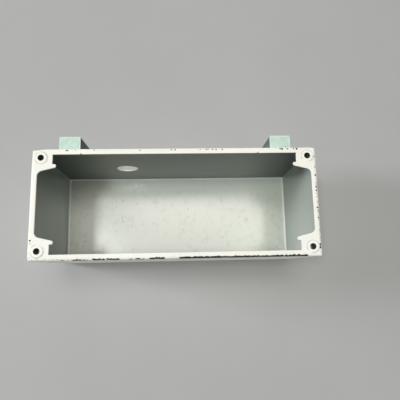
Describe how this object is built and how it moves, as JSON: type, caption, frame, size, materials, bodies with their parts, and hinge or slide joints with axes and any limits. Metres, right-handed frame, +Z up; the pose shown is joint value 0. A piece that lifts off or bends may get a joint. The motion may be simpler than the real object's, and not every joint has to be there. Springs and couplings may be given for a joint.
{
  "type": "electrical box",
  "caption": "Open long sheet-steel electrical box with a folded lip, hooked corner pads with blind threaded inserts for a cover, a conduit hole and square stand-off lugs on the rear wall.",
  "frame": {"origin": "middle of the underside of the back panel, on which the box lies", "axes": "+X along the box, +Y towards the wall with the lugs and the conduit hole, +Z up out of the open side"},
  "size_m": [0.254, 0.1185, 0.1185],
  "materials": {
    "box_paint": "satin",
    "insert_paint": "satin",
    "lug_paint": "satin"
  },
  "bodies": {
    "root": {"box_body": "box_paint", "insert_front_left": "insert_paint", "insert_front_right": "insert_paint", "insert_rear_left": "insert_paint", "insert_rear_right": "insert_paint", "lug_left": "lug_paint", "lug_right": "lug_paint"}
  },
  "joints": []
}
